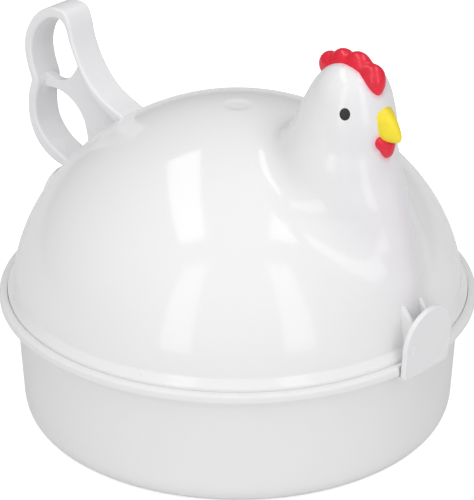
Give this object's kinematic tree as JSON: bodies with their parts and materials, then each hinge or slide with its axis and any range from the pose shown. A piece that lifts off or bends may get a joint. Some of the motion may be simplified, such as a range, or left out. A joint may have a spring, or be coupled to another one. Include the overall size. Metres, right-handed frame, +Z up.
{
  "type": "microwave egg cooker",
  "caption": "Hen-shaped microwave egg cooker: round plastic water base, aluminium egg tray, domed lined lid with hen's head, tail handle and thumb latches.",
  "frame": {"origin": "centre of the base's flat underside", "axes": "+Z up along the base's axis, +X towards the hen's beak and the front latch, the hen's midplane is XZ"},
  "size_m": [0.1671, 0.152, 0.1344],
  "materials": {
    "base_plastic": "satin white polypropylene",
    "lid_plastic": "glossy white polypropylene",
    "trim_plastic": "soft gloss white polypropylene",
    "aluminium": "spun sheet, satin",
    "steel": "stainless fastener",
    "red_paint": "glossy red paint",
    "yellow_paint": "satin yellow paint",
    "black_paint": "matte near-black paint"
  },
  "bodies": {
    "base": {"base_bowl": "base_plastic"},
    "tray": {"egg_tray": "aluminium"},
    "lid": {"lid_dome": "lid_plastic", "lid_lining": "aluminium", "lining_washer": "steel", "lining_screw": "steel", "hen_head": "trim_plastic", "comb": "red_paint", "beak": "yellow_paint", "wattle": "red_paint", "left_eye": "black_paint", "right_eye": "black_paint", "tail_handle": "trim_plastic", "front_latch_pin": "steel", "rear_latch_pin": "steel"},
    "front_latch": {"front_latch": "trim_plastic"},
    "rear_latch": {"rear_latch": "trim_plastic"}
  },
  "joints": [
    {"name": "lid_lift", "type": "slide", "parent": "base", "child": "lid", "axis": [0, 0, 1], "range_m": [0, 0.14]},
    {"name": "tray_lift", "type": "slide", "parent": "base", "child": "tray", "axis": [0, 0, 1], "range_m": [0, 0.012]},
    {"name": "front_latch_press", "type": "hinge", "parent": "lid", "child": "front_latch", "pos_m": [0.073, 0, 0.051], "axis": [0, -1, 0], "range_deg": [0, 12], "stiffness_Nm_per_rad": 0.14, "springref_deg": -5.73},
    {"name": "rear_latch_press", "type": "hinge", "parent": "lid", "child": "rear_latch", "pos_m": [-0.073, 0, 0.051], "axis": [0, 1, 0], "range_deg": [0, 12], "stiffness_Nm_per_rad": 0.14, "springref_deg": -5.73}
  ]
}
